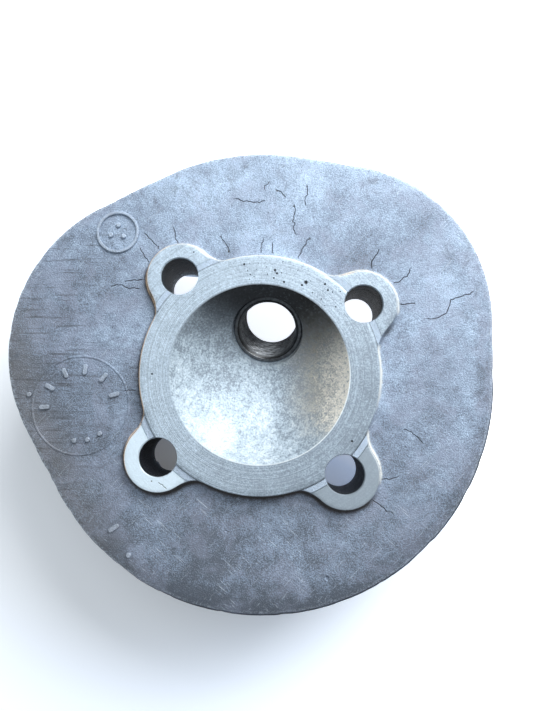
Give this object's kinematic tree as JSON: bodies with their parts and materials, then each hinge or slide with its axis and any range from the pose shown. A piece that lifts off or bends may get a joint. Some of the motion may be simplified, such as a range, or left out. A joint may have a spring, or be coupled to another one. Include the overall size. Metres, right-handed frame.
{
  "type": "cylinder head",
  "caption": "Finned aluminium cylinder head of a small two-stroke engine, with a round combustion bowl, stud ears and an inclined threaded plug insert.",
  "frame": {"origin": "centre of the combustion chamber's round mouth, on the sealing face, where the cylinder's bore axis crosses it", "axes": "+Z out of the chamber towards the cylinder, so the head lies on its fin tips; +X along the fins and along the line of the two front studs; the plug leans towards +Y on the fin side"},
  "size_m": [0.1092, 0.103, 0.036],
  "materials": {
    "cast_aluminium": "as-cast grey aluminium, dull and mottled, turned bright on the sealing ring",
    "insert_steel": "machined steel sleeve, browned by heat"
  },
  "bodies": {
    "root": {"head_casting": "cast_aluminium", "plug_thread_insert": "insert_steel"}
  },
  "joints": []
}
